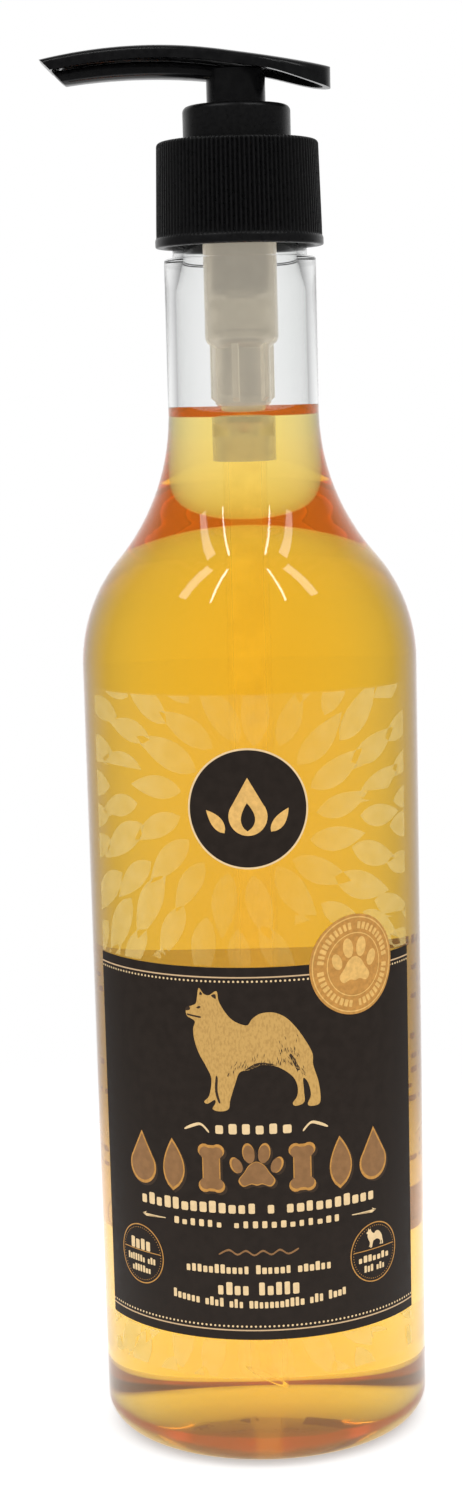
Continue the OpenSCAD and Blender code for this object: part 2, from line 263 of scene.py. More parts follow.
# ---- materials
def new_material(name, colour, roughness=0.4, **sockets):
    material = bpy.data.materials.new(name)
    material.use_nodes = True
    inputs = shader_of(material).inputs
    inputs["Base Color"].default_value = (*colour, 1)
    inputs["Roughness"].default_value = roughness
    for key, value in sockets.items():
        inputs[key.replace("_", " ")].default_value = value
    return material


def shader_of(material):
    return material.node_tree.nodes["Principled BSDF"]


def noise(material, scale, detail=4.0, stretch=(1, 1, 1)):
    tree = material.node_tree
    place = add_node(tree, "TexCoord")
    mapping = add_node(tree, "Mapping", Scale=stretch)
    texture = add_node(tree, "TexNoise", Scale=scale, Detail=detail)
    wire(place, "Object", mapping, "Vector")
    wire(mapping, "Vector", texture, "Vector")
    return texture


def vary_colour(material, texture, dark, light, low=0.35, high=0.65):
    ramp = add_node(material.node_tree, "ValToRGB")
    for element, position, colour in zip(ramp.color_ramp.elements, (low, high), (dark, light)):
        element.position = position
        element.color = (*colour, 1)
    wire(texture, "Fac", ramp, "Fac")
    wire(ramp, "Color", shader_of(material), "Base Color")


def vary_roughness(material, texture, low, high):
    spread = add_node(material.node_tree, "MapRange", From_Min=0.3, From_Max=0.7, To_Min=low, To_Max=high)
    wire(texture, "Fac", spread, "Value")
    wire(spread, "Result", shader_of(material), "Roughness")


def add_bump(material, texture, strength, distance):
    bump = add_node(material.node_tree, "Bump", Strength=strength, Distance=distance)
    wire(texture, "Fac", bump, "Height")
    wire(bump, "Normal", shader_of(material), "Normal")


def scaled(colour, factor):
    return tuple(min(1.0, c * factor) for c in colour)


def clear_polyester(name, tint):
    """Clear bottle plastic with the faint waves that blowing leaves in the wall."""
    material = new_material(name, (1, 1, 1), 0.02, Transmission_Weight=1.0, IOR=1.57, Specular_Tint=tint)
    waves = noise(material, 55, 2.0, (1, 1, 0.35))
    add_bump(material, waves, 0.12, 0.0006)
    vary_colour(material, waves, (0.975, 0.985, 0.98), (1, 1, 1))
    return material


def amber_liquid():
    """Clear amber; its emission stands for the light that a slightly cloudy liquid scatters."""
    material = new_material("amber_liquid", (1, 1, 1), 0.0, Transmission_Weight=1.0, IOR=1.34,
                            Specular_Tint=(0, 0, 0, 1))
    tree = material.node_tree
    absorb = add_node(tree, "VolumeAbsorption", Color=(0.95, 0.79, 0.02, 1), Density=64.0)
    # painted glow: the emission lights the liquid from within, standing for the light its haze scatters
    painted_haze_glow = add_node(tree, "Emission", Color=(0.92, 0.56, 0.03, 1), Strength=2.4)
    both = add_node(tree, "AddShader")
    output = tree.nodes["Material Output"]
    wire(absorb, "Volume", both, 0)
    wire(painted_haze_glow, "Emission", both, 1)
    wire(both, "Shader", output, "Volume")
    vary_colour(material, noise(material, 14, 2.0), (0.99, 0.98, 0.95), (1, 1, 1))
    return material


def black_plastic(name, roughness, grain):
    material = new_material(name, (0.004, 0.004, 0.0045), roughness, Specular_IOR_Level=0.35)
    texture = noise(material, grain, 6.0)
    vary_colour(material, texture, (0.003, 0.003, 0.0034), (0.006, 0.006, 0.0064))
    vary_roughness(material, texture, roughness * 0.85, roughness * 1.25)
    add_bump(material, texture, 0.10, 0.00008)
    return material


def natural_plastic(name, colour, roughness, clear, index=1.45, glow=(0, 0, 0)):
    """Polypropylene or polyethylene, clear to milky; the glow stands for light passed on inside it."""
    material = new_material(name, colour, roughness, Transmission_Weight=clear, IOR=index,
                            Emission_Color=(*glow, 1), Emission_Strength=1.0)
    texture = noise(material, 260, 4.0)
    vary_colour(material, texture, scaled(colour, 0.93), scaled(colour, 1.04))
    add_bump(material, texture, 0.08, 0.0001)
    return material


def steel(name, roughness):
    material = new_material(name, (0.62, 0.63, 0.64), roughness, Metallic=1.0)
    texture = noise(material, 900, 3.0)
    vary_colour(material, texture, (0.52, 0.53, 0.54), (0.68, 0.69, 0.70))
    vary_roughness(material, texture, roughness * 0.8, roughness * 1.3)
    return material


def ink(name, colour, roughness=0.42, spread=0.12, grain=900, metal=0.0, level=0.22):
    """Screen-printed ink with a fine mottle."""
    material = new_material(name, colour, roughness, Metallic=metal, Specular_IOR_Level=level)
    texture = noise(material, grain, 5.0)
    vary_colour(material, texture, scaled(colour, 1 - spread), scaled(colour, 1 + spread))
    vary_roughness(material, texture, roughness * 0.9, roughness * 1.15)
    add_bump(material, texture, 0.06, 0.00005)
    return material


PET = clear_polyester("clear_polyester", (1, 1, 1, 1))
WET_PET = clear_polyester("clear_polyester_wetted", (0, 0, 0, 1))
LIQUID = amber_liquid()
HEAD_BLACK = black_plastic("black_gloss", 0.20, 700)
CAP_BLACK = black_plastic("black_satin", 0.30, 1400)
MILKY = natural_plastic("milky_polypropylene", (0.72, 0.69, 0.62), 0.22, 0.66, glow=(0.17, 0.155, 0.13))
TUBE = natural_plastic("milky_polyethylene", (1.0, 0.99, 0.95), 0.05, 0.98, 1.02, glow=(0.035, 0.022, 0.003))
WHITE = natural_plastic("white_polyethylene", (0.86, 0.86, 0.84), 0.4, 0.0)
FOAM = natural_plastic("white_liner", (0.82, 0.82, 0.80), 0.7, 0.0)
SPRING_STEEL = steel("spring_steel", 0.25)
BALL_STEEL = steel("polished_steel", 0.08)
INK_DARK = ink("ink_dark_brown", (0.0245, 0.0175, 0.0135), 0.5, 0.10, 500, level=0.10)
INK_CREAM = ink("ink_cream", (0.78, 0.57, 0.31), 0.45, 0.06)
INK_GOLD = ink("ink_gold", (0.52, 0.25, 0.055), 0.38, 0.12, 1200)
INK_LIGHT_GOLD = ink("ink_light_gold", (0.74, 0.44, 0.13), 0.38, 0.10, 1200)
INK_BRONZE = ink("ink_bronze", (0.27, 0.135, 0.05), 0.42, 0.10, 700)
INK_TAN = ink("ink_tan", (0.60, 0.41, 0.23), 0.45, 0.06)
INK_SHADOW = ink("ink_shadow", (0.045, 0.026, 0.014), 0.5, 0.12)
INK_BACKING = ink("ink_cream_backing", (0.80, 0.68, 0.50), 0.6, 0.05)


def film_material():
    material = new_material("clear_label_film", (1, 0.97, 0.90), 0.25, Alpha=0.02)
    vary_colour(material, noise(material, 300, 3.0), (0.95, 0.80, 0.46), (1, 0.87, 0.54))
    return material


def leaf_material():
    """Thin cream ink; its cover rises towards the label's two sides as painted light, standing for the bright
    backlit middle that washes the leaves out.
    """
    material = new_material("ink_thin_cream", (0.86, 0.70, 0.42), 0.5)
    tree = material.node_tree
    place = add_node(tree, "TexCoord")
    split = add_node(tree, "SeparateXYZ")
    size = add_node(tree, "Math")
    size.operation = "ABSOLUTE"
    # painted light: alpha rises away from the label's middle, where the backlit liquid behind would wash the
    # thin ink out
    painted_backlight_cover = add_node(tree, "MapRange", From_Min=4 * MM, From_Max=27 * MM, To_Min=0.05, To_Max=0.28)
    painted_backlight_cover.interpolation_type = "SMOOTHSTEP"
    wire(place, "Object", split, "Vector")
    wire(split, "X", size, 0)
    wire(size, "Value", painted_backlight_cover, "Value")
    wire(painted_backlight_cover, "Result", shader_of(material), "Alpha")
    vary_colour(material, noise(material, 400, 3.0), (0.80, 0.60, 0.20), (0.90, 0.70, 0.28))
    return material


def sheer_material():
    """Tan ink thin enough for light to pass."""
    material = new_material("ink_sheer_tan", (0.78, 0.56, 0.26), 0.5, Alpha=0.28, Specular_IOR_Level=0.1)
    vary_colour(material, noise(material, 500, 4.0), (0.72, 0.51, 0.22), (0.84, 0.62, 0.31))
    return material


def dog_material():
    """Gold ink with the fine stipple of a coat."""
    material = new_material("ink_dog", (0.60, 0.36, 0.10), 0.42, Specular_IOR_Level=0.22)
    strokes = noise(material, 2600, 3.0, (1.0, 1.0, 0.5))
    vary_colour(material, strokes, (0.47, 0.27, 0.075), (0.58, 0.345, 0.10), 0.34, 0.56)
    add_bump(material, strokes, 0.06, 0.00005)
    return material


FILM = film_material()
INK_SHEER = sheer_material()
INK_LEAF = leaf_material()
INK_DOG = dog_material()


# ---- bottle and liquid
def shoulder_numbers():
    a = radians(SHOULDER_A)
    x1 = BODY_R - SHOULDER_R
    join = x1 + SHOULDER_R * cos(a)
    r2 = (join - NECK_R) / (1 - cos(a))
    return x1, r2, NECK_R + r2, SHOULDER_Z + (SHOULDER_R + r2) * sin(a)


def side(g, neck_g):
    """Outline of the side from the foot up to the neck, set in by g, and by neck_g at its top."""
    x1, r2, x2, z2 = shoulder_numbers()
    neck = []
    for i in range(1, 29):
        r = r2 + g + (neck_g - g) * i / 28
        a = radians(180 + SHOULDER_A * (1 - i / 28))
        neck.append((x2 + r * cos(a), z2 + r * sin(a)))
    return (arc(BODY_R - FOOT_R, FOOT_R, FOOT_R - g, -90, 0, 12)
            + [(BODY_R - g, FOOT_R + (SHOULDER_Z - FOOT_R) * i / 12) for i in range(1, 12)]
            + arc(x1, SHOULDER_Z, SHOULDER_R - g, 0, SHOULDER_A, 28) + neck)


def dome(g):
    r = (RING_R ** 2 + DOME_Z ** 2) / (2 * DOME_Z)
    a = asin(RING_R / r)
    return [((r + g) * sin(a * i / 10), DOME_Z - r + (r + g) * cos(a * i / 10)) for i in range(11)]


# the stretch of the bottle's axis, in metres, that every face of the inner skin looks at
INNER_Z0, INNER_Z1 = 0.02, 0.15


def make_bottle():
    """The clear shell; the part of its inner skin that the liquid wets has its own material."""
    profile = (dome(0) + side(0, 0)
               + arc(NECK_R - 0.3, NECK_TOP_Z - 0.3, 0.3, 0, 90, 5)
               + arc(ROOT_R + 0.35, NECK_TOP_Z + 0.35, 0.35, 270, 180, 4)
               + arc(ROOT_R - 0.4, MOUTH_Z - 0.4, 0.4, 0, 90, 6)
               + arc(BORE_R + 0.25, MOUTH_Z - 0.25, 0.25, 90, 180, 4)
               + [(BORE_R, NECK_TOP_Z)]
               + [(NECK_R - NECK_WALL, NECK_TOP_Z - 6)]
               + side(WALL, NECK_WALL)[::-1] + dome(WALL)[::-1])
    piece = turned("bottle_clear", profile, 192, "container", "bottle", PET, closed=False, sharp=60)
    piece.data.materials.append(WET_PET)
    for polygon in piece.data.polygons:
        inwards = Vector((0, 0, min(max(polygon.center.z, INNER_Z0), INNER_Z1))) - polygon.center
        if polygon.normal.dot(inwards) > 0 and polygon.center.z < LIQUID_Z * MM:
            polygon.material_index = 1


THREAD_PITCH = 4.233
THREAD_TURNS = 1.5
THREAD_Z = MOUTH_Z - 11.9


def thread_mesh(name, r, height, base_w, crest_w, z0, turns):
    steps = int(turns * 96)
    sink = -0.15 if height > 0 else 0.15
    section = [(sink, -base_w / 2), (0.0, -base_w / 2), (0.55, -base_w * 0.36), (0.9, -crest_w * 0.45),
               (1.0, -crest_w * 0.2), (1.0, crest_w * 0.2), (0.9, crest_w * 0.45), (0.55, base_w * 0.36),
               (0.0, base_w / 2), (sink, base_w / 2)]
    rings = []
    for i in range(steps + 1):
        t = i / steps
        a = 2 * pi * turns * t
        fade = min(1.0, 0.04 + ease(t * turns, 0, 0.12), 0.04 + ease((1 - t) * turns, 0, 0.12))
        ring = []
        for share, dz in section:
            out = r + (share if abs(share) == abs(sink) else height * share * fade)
            ring.append(polar(out, a, z0 + THREAD_PITCH * turns * t + dz))
        rings.append(ring)
    return outward(lofted(name, rings))


def make_neck_thread():
    mesh = thread_mesh("neck_thread", ROOT_R, 1.15, 2.1, 1.0, THREAD_Z, THREAD_TURNS)
    finish_mesh("neck_thread", mesh, "container", "bottle", PET)


def make_liquid():
    """Reaches just into the bottle's wall, and climbs it a little at the surface."""
    overlap, rise = 0.05, 2.0
    level = LIQUID_Z - 0.6
    rim = [p for p in side(WALL - overlap, NECK_WALL - overlap) if p[1] < level + rise]
    wall_r = rim[-1][0]
    meniscus = [(wall_r - 3.0 * t, level + rise * (1 - t) ** 2.5)
                for t in (0.0, 0.06, 0.15, 0.3, 0.5, 0.75, 1.0)]
    profile = dome(WALL - overlap) + rim[:-1] + meniscus + [(5.0, level), (0, level)]
    turned("shampoo_liquid", profile, 192, "container", "shampoo", LIQUID, closed=False, sharp=75)


# ---- label printing
FRONT_A = -90.0 - 1.8
BACK_A = 90.0
FRONT_HALF_S = BODY_R * radians(64.7)
BACK_HALF_S = BODY_R * radians(66.0)
PANEL_Z0, PANEL_Z1 = 25.9, 97.9
BACK_PANEL_Z0, BACK_PANEL_Z1 = 31.8, 91.6
EMBLEM_Z = 127.4
# how far each layer of the print stands off the bottle
FILM_LIFT, BACKING_LIFT, LEAF_LIFT, PANEL_LIFT = 0.10, 0.122, 0.13, 0.142
INK_LIFT, TOP_LIFT, SEAL_LIFT, SEAL_TOP_LIFT = 0.158, 0.172, 0.20, 0.225
SYMBOL_LIFTS = (0.150, 0.166, 0.182)
BACK_SIDE = {"slot": "back_label", "centre_a": BACK_A}


def wrapped(s, z, lift, centre_a):
    """A place on the label: s along the label from its centre, z up, lift off the bottle."""
    return polar(BODY_R + lift, radians(centre_a) + s / BODY_R, z)


def flat_mesh(name, loops):
    """Fills closed loops of (s, z) points; a loop inside another is a hole."""
    curve = bpy.data.curves.new(name, "CURVE")
    curve.dimensions = "2D"
    curve.fill_mode = "BOTH"
    for loop in loops:
        spline = curve.splines.new("POLY")
        spline.points.add(len(loop) - 1)
        for point, (s, z) in zip(spline.points, loop):
            point.co = (s, z, 0, 1)
        spline.use_cyclic_u = True
    holder = bpy.data.objects.new(name, curve)
    mesh = bpy.data.meshes.new_from_object(holder)
    bpy.data.objects.remove(holder)
    bpy.data.curves.remove(curve)
    return mesh


def printed(name, loops, material, lift=INK_LIFT, slot="front_label", centre_a=FRONT_A, thick=0.02):
    """Ink on the curved label: the flat shapes are cut into narrow strips and wrapped round the bottle."""
    mesh = flat_mesh(name, loops)
    edit = bmesh.new()
    edit.from_mesh(mesh)
    bmesh.ops.remove_doubles(edit, verts=edit.verts, dist=1e-5)
    low = min(v.co.x for v in edit.verts)
    high = max(v.co.x for v in edit.verts)
    step = 1.2
    cut = floor(low / step) * step + step
    while cut < high:
        geometry = edit.verts[:] + edit.edges[:] + edit.faces[:]
        bmesh.ops.bisect_plane(edit, geom=geometry, dist=1e-6, plane_co=(cut, 0, 0), plane_no=(1, 0, 0))
        cut += step
    for face in edit.faces:
        if face.normal.z < 0:
            face.normal_flip()
    # a turned copy becomes the underside, and the rim of every shape is closed
    copy = bmesh.ops.duplicate(edit, geom=edit.faces[:] + edit.edges[:] + edit.verts[:])
    twin = copy["vert_map"]
    for face in [g for g in copy["geom"] if isinstance(g, bmesh.types.BMFace)]:
        face.normal_flip()
    inner = set(g for g in copy["geom"] if isinstance(g, bmesh.types.BMVert))
    for edge in [e for e in edit.edges if len(e.link_faces) == 1 and e.verts[0] not in inner]:
        loop = edge.link_loops[0]
        first, second = loop.vert, loop.link_loop_next.vert
        edit.faces.new((second, first, twin[first], twin[second]))
    for v in edit.verts:
        s, z = v.co.x, v.co.y
        v.co = wrapped(s, z, lift - (thick if v in inner else 0), centre_a)
    edit.to_mesh(mesh)
    edit.free()
    return finish_mesh(name, mesh, "container", slot, material, sharp=50)


def box_loop(s0, z0, s1, z1, r=0.0, n=5):
    """A rectangle with round corners."""
    if r <= 0:
        return [(s0, z0), (s1, z0), (s1, z1), (s0, z1)]
    return (arc(s1 - r, z0 + r, r, -90, 0, n) + arc(s1 - r, z1 - r, r, 0, 90, n)
            + arc(s0 + r, z1 - r, r, 90, 180, n) + arc(s0 + r, z0 + r, r, 180, 270, n))


def circle_loop(s, z, r, n=64):
    return [(s + r * cos(a), z + r * sin(a)) for a in angles(n)]


def oval_loop(s, z, a, b, turn=0.0, n=28):
    c, d = cos(radians(turn)), sin(radians(turn))
    points = [(a * cos(t), b * sin(t)) for t in angles(n)]
    return [(s + p * c - q * d, z + p * d + q * c) for p, q in points]


def smooth_loop(points, n=5):
    """A closed curve through points."""
    count = len(points)
    out = []
    for i in range(count):
        p0, p1, p2, p3 = (points[(i + k - 1) % count] for k in range(4))
        for j in range(n):
            t = j / n
            out.append(tuple(
                0.5 * (2 * p1[c] + (p2[c] - p0[c]) * t + (2 * p0[c] - 5 * p1[c] + 4 * p2[c] - p3[c]) * t * t
                       + (3 * p1[c] - p0[c] - 3 * p2[c] + p3[c]) * t ** 3) for c in (0, 1)))
    return out


def moved(loop, s, z, scale=1.0, turn=0.0, flip=False):
    c, d = cos(radians(turn)), sin(radians(turn))
    sign = -1 if flip else 1
    return [(s + scale * (sign * p * c - q * d), z + scale * (sign * p * d + q * c)) for p, q in loop]


def clipped(loop, s0, z0, s1, z1):
    """The part of a loop that lies inside a rectangle."""
    for axis, limit, keep in ((0, s0, 1), (0, s1, -1), (1, z0, 1), (1, z1, -1)):
        out = []
        for i, p in enumerate(loop):
            q = loop[i - 1]
            inside_p = keep * (p[axis] - limit) >= 0
            inside_q = keep * (q[axis] - limit) >= 0
            if inside_p != inside_q:
                t = (limit - q[axis]) / (p[axis] - q[axis])
                out.append((q[0] + (p[0] - q[0]) * t, q[1] + (p[1] - q[1]) * t))
            if inside_p:
                out.append(p)
        loop = out
        if len(loop) < 3:
            return None
    return loop


def loop_area(loop):
    return abs(sum(a[0] * b[1] - b[0] * a[1] for a, b in zip(loop, loop[1:] + loop[:1]))) / 2


def leaf_loop(s, z, angle, length, width):
    """An almond leaf with a bent tip."""
    points = []
    for side_sign in (1, -1):
        for i in range(10):
            t = i / 10 if side_sign > 0 else 1 - i / 10
            half = side_sign * width / 2 * sin(pi * t ** 0.8) ** 0.9
            points.append((length * (t - 0.5), half + 0.10 * length * (t - 0.5) ** 2))
    return moved(points, s, z, 1.0, angle)


def leaf_field(s0, z0, s1, z1, centre, first_r, rings, rng):
    """Leaves in rings round a centre, cut off at the field's edges."""
    leaves = []
    for ring in range(rings):
        r = first_r + 9.4 * ring
        count = max(8, round(2 * pi * r / 7.0))
        for k in range(count):
            a = 2 * pi * (k + 0.5 * (ring % 2)) / count + rng.uniform(-0.03, 0.03)
            s, z = centre[0] + r * cos(a), centre[1] + r * sin(a)
            size = rng.uniform(0.85, 1.12)
            loop = leaf_loop(s, z, degrees(a) + 12 + rng.uniform(-9, 9), 13.0 * size, 4.9 * size)
            loop = clipped(loop, s0, z0, s1, z1)
            if loop and loop_area(loop) > 1.2:
                leaves.append(loop)
    return leaves


def block_row(z, height, s0, s1, words, rng, bow=0.0, gap=0.24):
    """A row of small blocks that stands for a line of lettering, with wider gaps between its words."""
    total = sum(words) + 0.9 * (len(words) - 1)
    pitch = (s1 - s0) / total
    blocks = []
    at = s0
    span = (s1 - s0) / 2
    middle = (s0 + s1) / 2
    for word in words:
        for _ in range(word):
            width = pitch * (1 - gap) * rng.uniform(0.82, 1.0)
            tall = height * rng.choice((0.72, 0.72, 1.0, 1.0, 0.86))
            lift = bow * ((at + width / 2 - middle) / span) ** 2
            blocks.append(box_loop(at, z - height / 2 + lift, at + width, z - height / 2 + tall + lift,
                                   min(width, tall) * 0.22, 3))
            at += pitch
        at += 0.9 * pitch
    return blocks


# a standing dog, from its nose over the back and along the legs to its chin
DOG = [(0.2, 19.3), (0.5, 20.1), (1.5, 20.5), (2.4, 21.0), (2.7, 22.3), (3.1, 24.0), (4.1, 22.9), (5.2, 22.7),
       (6.7, 23.5), (7.1, 21.6), (8.3, 19.5), (9.7, 18.0), (11.3, 17.2), (12.7, 17.0), (13.6, 18.2),
       (15.3, 19.2), (17.8, 19.3), (20.2, 18.2), (22.3, 16.0), (24.2, 13.2), (25.4, 10.8), (25.5, 8.6),
       (26.5, 5.4),
       (26.9, 2.4), (26.6, 0.9), (25.0, 0.6), (24.2, 1.1), (24.9, 2.8), (24.4, 5.2), (23.4, 6.2), (23.5, 3.6),
       (23.5, 1.5), (21.8, 0.9), (21.2, 1.5), (22.1, 2.8), (22.2, 4.8), (21.2, 6.8), (18.4, 8.7), (15.4, 9.2),
       (12.8, 8.3), (10.9, 7.8), (9.9, 5.4), (8.9, 2.4), (8.5, 0.6), (6.8, 0.1), (5.3, 0.5), (5.9, 1.7),
       (5.7, 2.3), (4.3, 1.5), (3.6, 1.9), (4.7, 3.2), (5.2, 6.4), (4.2, 8.8), (2.8, 11.2), (1.9, 13.8),
       (1.7, 16.0), (2.1, 17.4), (1.3, 18.0), (0.5, 18.4)]
# eye, mouth, the folds between the front legs and of the thigh, the shade under the belly, nose and ears
DOG_MARKS = [
    [(2.5, 20.2), (3.1, 20.5), (3.4, 20.3), (2.9, 20.0)],
    [(0.5, 18.9), (1.8, 18.7), (3.3, 18.5), (3.2, 18.2), (1.7, 18.4), (0.6, 18.6)],
    [(6.1, 6.8), (6.5, 6.6), (6.4, 4.0), (6.9, 1.9), (6.5, 1.9), (5.9, 4.0)],
    [(21.2, 11.0), (22.5, 8.6), (23.0, 6.8), (22.6, 6.9), (21.9, 8.4), (20.8, 10.7)],
    [(12.0, 8.3), (14.4, 9.6), (17.4, 9.3), (20.4, 7.9), (18.4, 8.8), (15.4, 9.25), (12.8, 8.4)],
    [(0.15, 19.5), (0.35, 20.15), (1.0, 20.3), (1.1, 19.7)],
    [(3.2, 22.7), (3.4, 23.3), (3.8, 22.8)],
    [(5.6, 22.6), (6.4, 22.9), (6.5, 22.0)],
]
PAW_PAD = [(-2.2, -2.6), (-0.9, -2.2), (0.0, -2.4), (0.9, -2.2), (2.2, -2.6), (2.9, -1.6), (2.0, -0.3),
           (1.2, 0.9), (0.0, 1.5), (-1.2, 0.9), (-2.0, -0.3), (-2.9, -1.6)]


def paw_loops(s, z, scale):
    toes = [(-3.3, 0.9, 0.85, 1.35, 22), (-1.25, 2.9, 0.95, 1.6, 8), (1.25, 2.9, 0.95, 1.6, -8),
            (3.3, 0.9, 0.85, 1.35, -22)]
    loops = [moved(smooth_loop(PAW_PAD, 4), s, z, scale)]
    loops += [moved(oval_loop(p, q, a, b, t), s, z, scale) for p, q, a, b, t in toes]
    return loops


def ring_loops(s, z, r_out, r_in, n=72):
    return [circle_loop(s, z, r_out, n), circle_loop(s, z, r_in, n)]


def drop_loop(s, z, scale):
    points = [(0, 5.0)] + arc(0, -1.2, 3.1, 38, -218, 26)
    return moved(points, s, z, scale)


def bone_loop(s, z, scale, turn=0.0):
    half = (arc(2.5, 0.95, 0.95, -35, 160, 8) + arc(-2.5, 0.95, 0.95, 20, 215, 8)
            + arc(-2.5, -0.95, 0.95, 145, 340, 8) + arc(2.5, -0.95, 0.95, 200, 395, 8))
    return moved(half, s, z, scale, turn)


def make_film():
    """The clear films of the front and the back label."""
    for name, centre_a, half_s, slot in (("front_film", FRONT_A, FRONT_HALF_S, "front_label"),
                                         ("back_film", BACK_A, BACK_HALF_S, "back_label")):
        loop = box_loop(-half_s, LABEL_Z0, half_s, LABEL_Z1, 1.5, 6)
        piece = printed(name, [loop], FILM, FILM_LIFT, slot, centre_a, 0.06)
        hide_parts(slot)


def make_front_panel():
    """The dark printed panel, on a cream backing, with a thin line and a row of dots along its two edges."""
    edge = FRONT_HALF_S - 0.1
    panel = [box_loop(-edge, PANEL_Z0, edge, PANEL_Z1)]
    printed("front_backing", panel, INK_BACKING, BACKING_LIFT, thick=0.01)
    printed("front_panel", panel, INK_DARK, PANEL_LIFT, thick=0.01)
    lines, dots = [], []
    dot_pitch, dot_r, line_w, line_in, dots_in = 0.86, 0.21, 0.26, 1.75, 2.65
    count = int(2 * edge / dot_pitch)
    for z0, sign in ((PANEL_Z1, -1), (PANEL_Z0, 1)):
        z = z0 + sign * line_in
        lines.append(box_loop(-edge, min(z, z + sign * line_w), edge, max(z, z + sign * line_w)))
        dots += [circle_loop(-edge + 2 * edge * (k + 0.5) / count, z0 + sign * dots_in, dot_r, 8)
                 for k in range(count)]
    printed("front_lines", lines, INK_TAN)
    printed("front_dots", dots, INK_CREAM)


def make_back_panel():
    """The back panel: tan ink that lets light through."""
    edge = BACK_HALF_S - 0.1
    loop = box_loop(-edge, BACK_PANEL_Z0, edge, BACK_PANEL_Z1)
    printed("back_panel", [loop], INK_SHEER, PANEL_LIFT, **BACK_SIDE)


def coat_ticks(rng):
    """Short strokes that darken the dog's belly, chest and thigh."""
    stroke = [(-0.45, 0.0), (0.0, 0.055), (0.45, 0.0), (0.0, -0.055)]
    ticks = []
    # each row: from a place to a place, the spread above the line, how many strokes, and their lean
    for x0, z0, x1, z1, spread, count, lean in (
            (11.4, 8.4, 20.6, 9.4, 0.9, 46, 78), (20.4, 9.4, 23.8, 6.6, 1.3, 34, 110),
            (18.6, 11.0, 22.6, 10.6, 1.5, 20, 100), (8.6, 7.0, 11.2, 8.8, 0.7, 12, 70)):
        for _ in range(count):
            t, off = rng.random(), abs(rng.gauss(0, spread))
            x, z = x0 + (x1 - x0) * t, z0 + (z1 - z0) * t + off
            ticks.append(moved(stroke, x, z, 1.0, lean + rng.uniform(-18, 18)))
    return ticks


def on_panel(loop):
    """Places the dog's outline, or a mark on it, on the dark panel."""
    return [(-13.0 + 0.945 * p, 70.4 + 0.98 * q) for p, q in loop]


def make_leaves(rng):
    """Leaves round the emblem, and others below the dark panel."""
    half = FRONT_HALF_S - 0.5
    leaves = leaf_field(-half, PANEL_Z1 + 0.3, half, LABEL_Z1 - 0.3, (0, EMBLEM_Z), 18.5, 4, rng)
    leaves += leaf_field(-half, LABEL_Z0 + 0.3, half, PANEL_Z0 - 0.3, (0, 60.0), 39.0, 3, rng)
    printed("printed_leaves", leaves, INK_LEAF, LEAF_LIFT)


def make_emblem():
    """A round emblem: a drop round a leaf, between two leaves."""
    printed("emblem_disc", [circle_loop(0, EMBLEM_Z, 11.1, 96)], INK_DARK, PANEL_LIFT)
    printed("emblem_ring", ring_loops(0, EMBLEM_Z, 11.15, 10.8, 96), INK_CREAM)
    emblem = [drop_loop(0, EMBLEM_Z, 1.15), moved(leaf_loop(0, 0, 90, 5.2, 2.6), 0, 125.9)]
    emblem += [leaf_loop(-5.9, 125.2, 128, 5.4, 2.1), leaf_loop(5.9, 125.2, 52, 5.4, 2.1)]
    printed("emblem_drop", emblem, INK_LIGHT_GOLD)


def make_dog(rng):
    printed("printed_dog", [on_panel(smooth_loop(DOG, 5))], INK_DOG)
    marks = [on_panel(smooth_loop(mark, 4)) for mark in DOG_MARKS]
    marks += [on_panel(loop) for loop in coat_ticks(rng)]
    printed("printed_dog_marks", marks, INK_SHADOW, TOP_LIFT)


def make_small_row(rng):
    """One word of blocks between two flourishes."""
    row = block_row(67.3, 2.3, -7.6, 7.6, [6], rng, gap=0.34)
    wave = [(9.0, 66.3), (10.4, 67.6), (12.0, 67.2), (13.6, 66.6), (13.7, 66.9), (12.3, 67.7), (10.5, 68.1),
            (9.0, 66.8)]
    for side_sign in (-1, 1):
        row.append(smooth_loop([(side_sign * s, z) for s, z in wave], 4))
    printed("small_row", row, INK_CREAM)


def make_text_rows(rng):
    """The rows of blocks on the dark panel, two thin lines with points, and a wavy line."""
    rows = []
    for z, height, half, words, bow, gap in (
            (51.9, 2.3, 24.4, [13, 1, 10], 0.0, 0.24), (48.6, 1.35, 16.6, [6, 12], 0.0, 0.42),
            (39.8, 1.75, 14.2, [11, 6, 6], 0.0, 0.24), (36.0, 2.5, 7.9, [4, 5], 0.0, 0.24),
            (33.0, 1.7, 17.2, [6, 4, 3, 11, 3, 4], 1.2, 0.24)):
        rows += block_row(z, height, -half, half, words, rng, bow, gap)
    rows += [box_loop(-24.4, 48.5, -18.6, 48.66), box_loop(18.6, 48.5, 24.4, 48.66)]
    point = ((23.4, 49.05), (24.4, 48.58), (23.4, 48.1), (23.7, 48.58))
    rows += [[(side_sign * s, z) for s, z in point] for side_sign in (-1, 1)]
    printed("text_rows", rows, INK_CREAM)
    script = smooth_loop([(-7.4, 42.9), (-5.6, 43.8), (-4.0, 42.9), (-2.4, 43.7), (-0.8, 42.8), (0.8, 43.7),
                          (2.4, 42.9), (4.0, 43.8), (5.6, 42.9), (7.4, 43.7), (7.4, 43.35), (5.6, 42.55),
                          (4.0, 43.4), (2.4, 42.55), (0.8, 43.3), (-0.8, 42.45), (-2.4, 43.3), (-4.0, 42.55),
                          (-5.6, 43.4), (-7.4, 42.6)], 4)
    printed("script_row", [script], INK_BRONZE)


